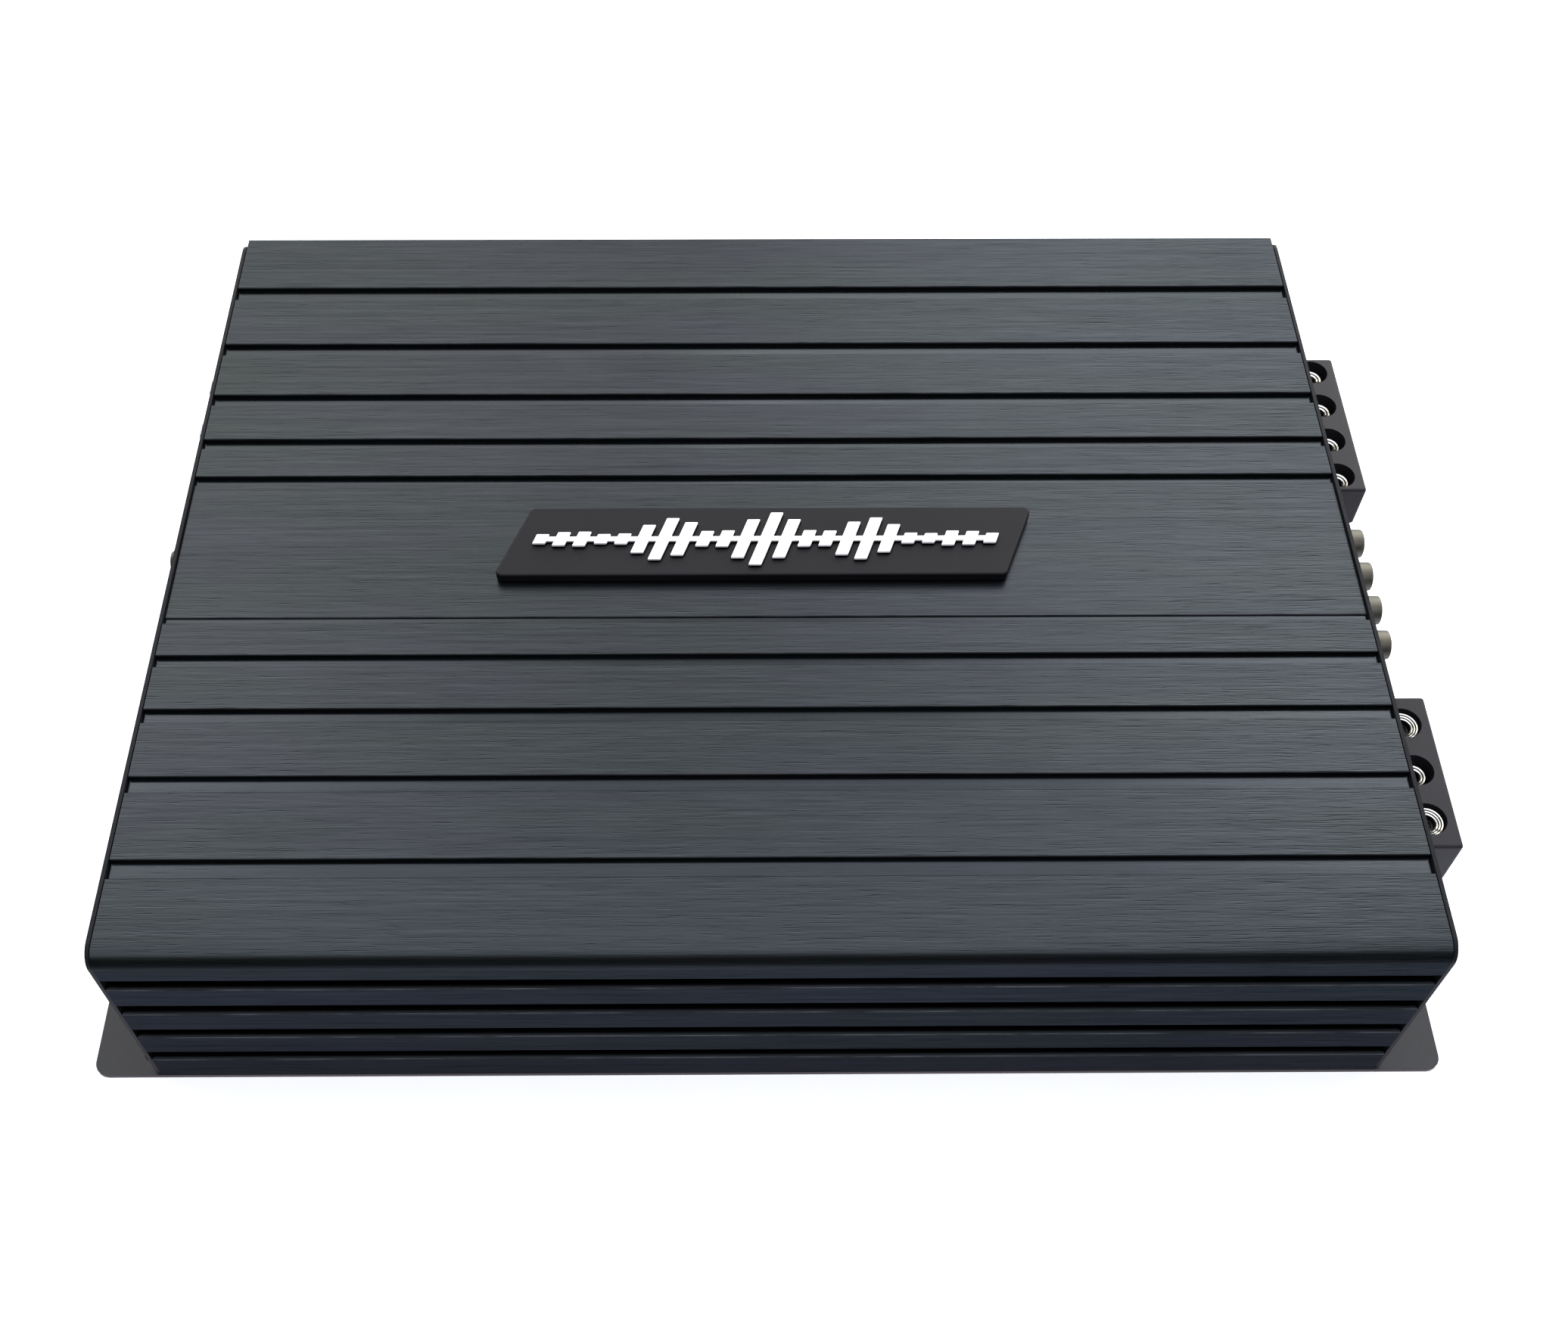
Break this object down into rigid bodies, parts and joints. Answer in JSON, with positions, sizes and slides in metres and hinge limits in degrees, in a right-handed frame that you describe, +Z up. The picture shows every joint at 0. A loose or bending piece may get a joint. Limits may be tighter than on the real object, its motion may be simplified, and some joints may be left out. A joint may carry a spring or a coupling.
{
  "type": "car audio amplifier",
  "caption": "Flat black car audio amplifier with a ribbed, brushed heat sink, mounting ears, screw terminal blocks, signal jacks, fuses and control knobs.",
  "frame": {"origin": "centre of the bottom plate's underside, on the mounting plane", "axes": "+Z up; +X towards the connector end with the terminal blocks and jacks; -Y is the front long side; -X is the control and fuse end"},
  "size_m": [0.3587, 0.2464, 0.0717],
  "materials": {
    "anodised_aluminium": "black anodised, brushed along its length",
    "black_sheet_steel": "satin powder coat",
    "black_screw_steel": "black oxide",
    "nickel": "bright nickel with a warm tint",
    "black_plastic": "fine moulded texture",
    "clear_fuse_plastic": "clear, glossy",
    "badge_black": "satin black",
    "emblem_white": "satin white",
    "blue_lens": "clear blue",
    "red_lens": "clear red",
    "potentiometer_blue": "moulded",
    "board_green": "solder resist",
    "copper_winding": "enamelled wire",
    "capacitor_sleeve": "shrink sleeve",
    "transistor_black": "moulded epoxy",
    "raw_aluminium": "mill finish"
  },
  "bodies": {
    "chassis": {"badge_emblem": "emblem_white", "badge_plate": "badge_black", "bass_boost_potentiometer": "potentiometer_blue", "bottom_plate": "black_sheet_steel", "bottom_screw_1": "black_screw_steel", "bottom_screw_2": "black_screw_steel", "bottom_screw_3": "black_screw_steel", "bottom_screw_4": "black_screw_steel", "connector_end_plate": "black_sheet_steel", "connector_plate_screw_1": "black_screw_steel", "connector_plate_screw_2": "black_screw_steel", "connector_plate_screw_3": "black_screw_steel", "connector_plate_screw_4": "black_screw_steel", "control_end_plate": "black_sheet_steel", "control_plate_screw_1": "black_screw_steel", "control_plate_screw_2": "black_screw_steel", "control_plate_screw_3": "black_screw_steel", "control_plate_screw_4": "black_screw_steel", "driver_card": "board_green", "front_clamp_bar": "raw_aluminium", "front_transistor_row": "transistor_black", "fuse_holder": "black_plastic", "gain_potentiometer": "potentiometer_blue", "heat_sink": "anodised_aluminium", "jack_base": "black_plastic", "jack_shell_1": "nickel", "jack_shell_2": "nickel", "jack_shell_3": "nickel", "jack_shell_4": "nickel", "low_pass_potentiometer": "potentiometer_blue", "main_board": "board_green", "output_inductor_1": "copper_winding", "output_inductor_2": "copper_winding", "phase_switch_body": "black_plastic", "power_led": "blue_lens", "power_terminal_block": "black_plastic", "protect_led": "red_lens", "rear_clamp_bar": "raw_aluminium", "rear_transistor_row": "transistor_black", "remote_jack": "black_plastic", "speaker_terminal_block": "black_plastic", "subsonic_potentiometer": "potentiometer_blue", "supply_capacitor_1": "capacitor_sleeve", "supply_capacitor_2": "capacitor_sleeve", "supply_capacitor_3": "capacitor_sleeve", "supply_transformer": "copper_winding"},
    "gain_knob": {"gain_knob": "black_plastic"},
    "low_pass_knob": {"low_pass_knob": "black_plastic"},
    "subsonic_knob": {"subsonic_knob": "black_plastic"},
    "bass_boost_knob": {"bass_boost_knob": "black_plastic"},
    "phase_switch_lever": {"phase_switch_lever": "black_plastic"},
    "fuse_1": {"fuse_1": "clear_fuse_plastic"},
    "fuse_2": {"fuse_2": "clear_fuse_plastic"},
    "speaker_screw_1": {"speaker_screw_1": "nickel"},
    "speaker_screw_2": {"speaker_screw_2": "nickel"},
    "speaker_screw_3": {"speaker_screw_3": "nickel"},
    "speaker_screw_4": {"speaker_screw_4": "nickel"},
    "battery_screw": {"battery_screw": "nickel"},
    "remote_screw": {"remote_screw": "nickel"},
    "ground_screw": {"ground_screw": "nickel"}
  },
  "joints": [
    {"name": "gain_turn", "type": "hinge", "parent": "chassis", "child": "gain_knob", "pos_m": [-0.16, 0.0225, 0.0338], "axis": [-1, 0, 0], "range_deg": [-140, 140]},
    {"name": "low_pass_turn", "type": "hinge", "parent": "chassis", "child": "low_pass_knob", "pos_m": [-0.16, 0.0005, 0.0338], "axis": [-1, 0, 0], "range_deg": [-140, 140]},
    {"name": "subsonic_turn", "type": "hinge", "parent": "chassis", "child": "subsonic_knob", "pos_m": [-0.16, -0.0215, 0.0338], "axis": [-1, 0, 0], "range_deg": [-140, 140]},
    {"name": "bass_boost_turn", "type": "hinge", "parent": "chassis", "child": "bass_boost_knob", "pos_m": [-0.16, -0.0435, 0.0338], "axis": [-1, 0, 0], "range_deg": [-140, 140]},
    {"name": "phase_switch_slide", "type": "slide", "parent": "chassis", "child": "phase_switch_lever", "axis": [0, -1, 0], "range_m": [0, 0.003]},
    {"name": "fuse_1_pull", "type": "slide", "parent": "chassis", "child": "fuse_1", "axis": [-1, 0, 0], "range_m": [0, 0.016]},
    {"name": "fuse_2_pull", "type": "slide", "parent": "chassis", "child": "fuse_2", "axis": [-1, 0, 0], "range_m": [0, 0.016]},
    {"name": "speaker_screw_1_clamp", "type": "slide", "parent": "chassis", "child": "speaker_screw_1", "axis": [0, 0, -1], "range_m": [0, 0.004]},
    {"name": "speaker_screw_2_clamp", "type": "slide", "parent": "chassis", "child": "speaker_screw_2", "axis": [0, 0, -1], "range_m": [0, 0.004]},
    {"name": "speaker_screw_3_clamp", "type": "slide", "parent": "chassis", "child": "speaker_screw_3", "axis": [0, 0, -1], "range_m": [0, 0.004]},
    {"name": "speaker_screw_4_clamp", "type": "slide", "parent": "chassis", "child": "speaker_screw_4", "axis": [0, 0, -1], "range_m": [0, 0.004]},
    {"name": "battery_screw_clamp", "type": "slide", "parent": "chassis", "child": "battery_screw", "axis": [0, 0, -1], "range_m": [0, 0.005]},
    {"name": "remote_screw_clamp", "type": "slide", "parent": "chassis", "child": "remote_screw", "axis": [0, 0, -1], "range_m": [0, 0.005]},
    {"name": "ground_screw_clamp", "type": "slide", "parent": "chassis", "child": "ground_screw", "axis": [0, 0, -1], "range_m": [0, 0.005]}
  ]
}
